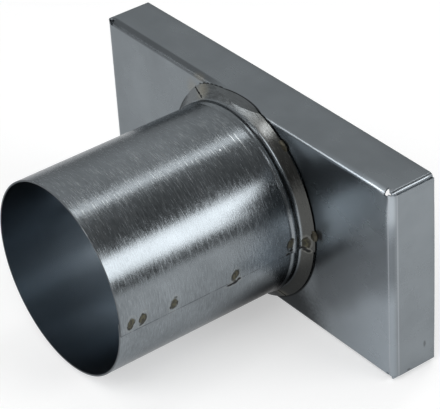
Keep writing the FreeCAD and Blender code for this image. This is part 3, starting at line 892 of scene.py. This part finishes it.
# Painted shade: the tube's root is darker under the lap, and the flare half as much.
root_shade = product(spigot_tree, ramp_between(spigot_tree, along_axis, -0.062, -0.018),
               ramp_between(spigot_tree, towards(-50), 0.0385, 0.0468))
root_shade = product(spigot_tree, root_shade, ramp_between(spigot_tree, along_axis, -0.0050, -0.0035, 1.0, 0.5))
# The cut edge of the mouth has no zinc on it.
cut_edge = fade_out(spigot_tree, along_axis, -0.10895, -0.10885)
# A painted shadow: a thin dark line, broken in places, under the sheet's outer edge all along the lap.
seam_shadow = product(spigot_tree, ridge(spigot_tree, towards(83.7), -0.00016, 0.0001, 0.00034),
                    ramp_between(spigot_tree, towards(-6.3), 0.0489, 0.0491))
seam_shadow_break = stretched_noise(spigot_tree, spigot_place, (1, 1, 1), scale=170, detail=2)
seam_shadow = product(spigot_tree, seam_shadow, ramp_between(spigot_tree, seam_shadow_break, 0.36, 0.6, 0.35, 1.0))
burn_tone = stretched_noise(spigot_tree, spigot_place, (1, 1.6, 1), scale=520, detail=2)
burn_colour = mix_colours(spigot_tree, ramp_between(spigot_tree, burn_tone, 0.4, 0.62),
                          (0.030, 0.028, 0.018), (0.095, 0.087, 0.048))
spigot_colour = lay_tints(spigot_tree, spigot_skin.outputs["Color"], (
    (flare_shade, 0.90, (0.060, 0.059, 0.054)),
    (flare_highlight, 0.7, (0.29, 0.30, 0.30)),
    (spigot_straw, 0.6, (0.27, 0.255, 0.205)),
    (groove_shade, 0.2, (0.045, 0.046, 0.045)),
    (bead_side_highlight, 0.6, (0.50, 0.55, 0.59)),
    (root_shade, 0.9, (0.010, 0.011, 0.012)),
    # Painted light: the inside of the tube is lighter and bluer than the outside.
    (inside_only, 0.85, (0.33, 0.375, 0.415)),
    (cut_edge, 0.6, (0.05, 0.053, 0.056)),
    (scratches, 0.85, (0.60, 0.63, 0.64)),
    (scuffs, 0.45, (0.52, 0.55, 0.56)),
    (seam_shadow, 0.7, (0.04, 0.04, 0.045)),
    (highest(spigot_tree, welds, "Halo"), 0.14, (0.38, 0.38, 0.35)),
    (weld_spots, 0.92, burn_colour),
    (highest(spigot_tree, welds, "Rim"), 0.9, (0.03, 0.028, 0.02)),
    (highest(spigot_tree, black_marks, "Halo"), 0.2, (0.38, 0.38, 0.35)),
    (black_marks_outside, 0.97, (0.005, 0.005, 0.005))))
spigot_tree.links.new(spigot_colour, spigot_shader.inputs["Base Color"])
burnt_metallic = 0.25
burnt = greater(spigot_tree, weld_spots, black_marks_outside)
spigot_rough = arithmetic(spigot_tree, "ADD", spigot_skin.outputs["Roughness"],
                          product(spigot_tree, burnt, burnt_roughness), clamp=True)
spigot_tree.links.new(spigot_rough, spigot_shader.inputs["Roughness"])
spigot_tree.links.new(ramp_between(spigot_tree, burnt, 0.0, 1.0, 1.0, burnt_metallic),
                      spigot_shader.inputs["Metallic"])
# The painted shade takes the shine at a low angle too.
spigot_tree.links.new(mix_colours(spigot_tree, root_shade, low_angle_shine, (0.45, 0.45, 0.45)),
                      spigot_shader.inputs["Specular Tint"])
spigot.data.materials.clear()
spigot.data.materials.append(spigot_zinc)
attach(spigot, "root")
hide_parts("spigot")


# Tack welds: two small lumps of burnt weld metal that hold the flare's edge to the face, one next to
# the lap and one at the upper right.

lump_depth = -0.0007
lump_swell = 0.00012
lump_segments = 24
lump_rings = 14
millimetre = 0.001
weld_metal, weld_shader, weld_skin, _ = metal_material(
    "weld_metal", grain_scale=(400, 400, 400), grain=1.0, roughness=0.42, bump=0.6)
weld_skin.inputs["Dark"].default_value = (0.035, 0.032, 0.023, 1)
weld_skin.inputs["Light"].default_value = (0.09, 0.082, 0.060, 1)
weld_shader.inputs["Metallic"].default_value = 0.6
weld_metal.node_tree.links.new(weld_skin.outputs["Color"], weld_shader.inputs["Base Color"])
weld_metal.node_tree.links.new(weld_skin.outputs["Roughness"], weld_shader.inputs["Roughness"])
# Degrees round the axis, then the distance from it and the half sizes in millimetres.
for name, angle, radius, size in (("tack_weld_lap", 2.4, 54.8, (2.4, 1.2, 2.9)),
                                  ("tack_weld_upper", 51.6, 54.4, (2.0, 1.0, 3.3))):
    turn = math.radians(angle)
    bpy.ops.object.select_all(action="DESELECT")
    bpy.ops.mesh.primitive_uv_sphere_add(segments=lump_segments, ring_count=lump_rings, radius=millimetre)
    bpy.context.object.scale = size
    bpy.context.object.rotation_euler = (0, -turn, 0)
    bpy.context.object.location = around(turn) * (radius / 1000) + Vector((0, lump_depth, 0))
    lump = start_piece(name)
    bpy.ops.object.mode_set(mode="OBJECT")
    for vertex in lump.data.vertices:
        x, y, z = vertex.co * 1000
        swell = lump_swell * (math.sin(x * 2.9 + z * 1.7) + math.sin(z * 3.7 - y * 2.3))
        vertex.co += vertex.normal * swell
    bpy.ops.object.shade_smooth()
    lump.data.materials.append(weld_metal)
    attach(lump, "root")
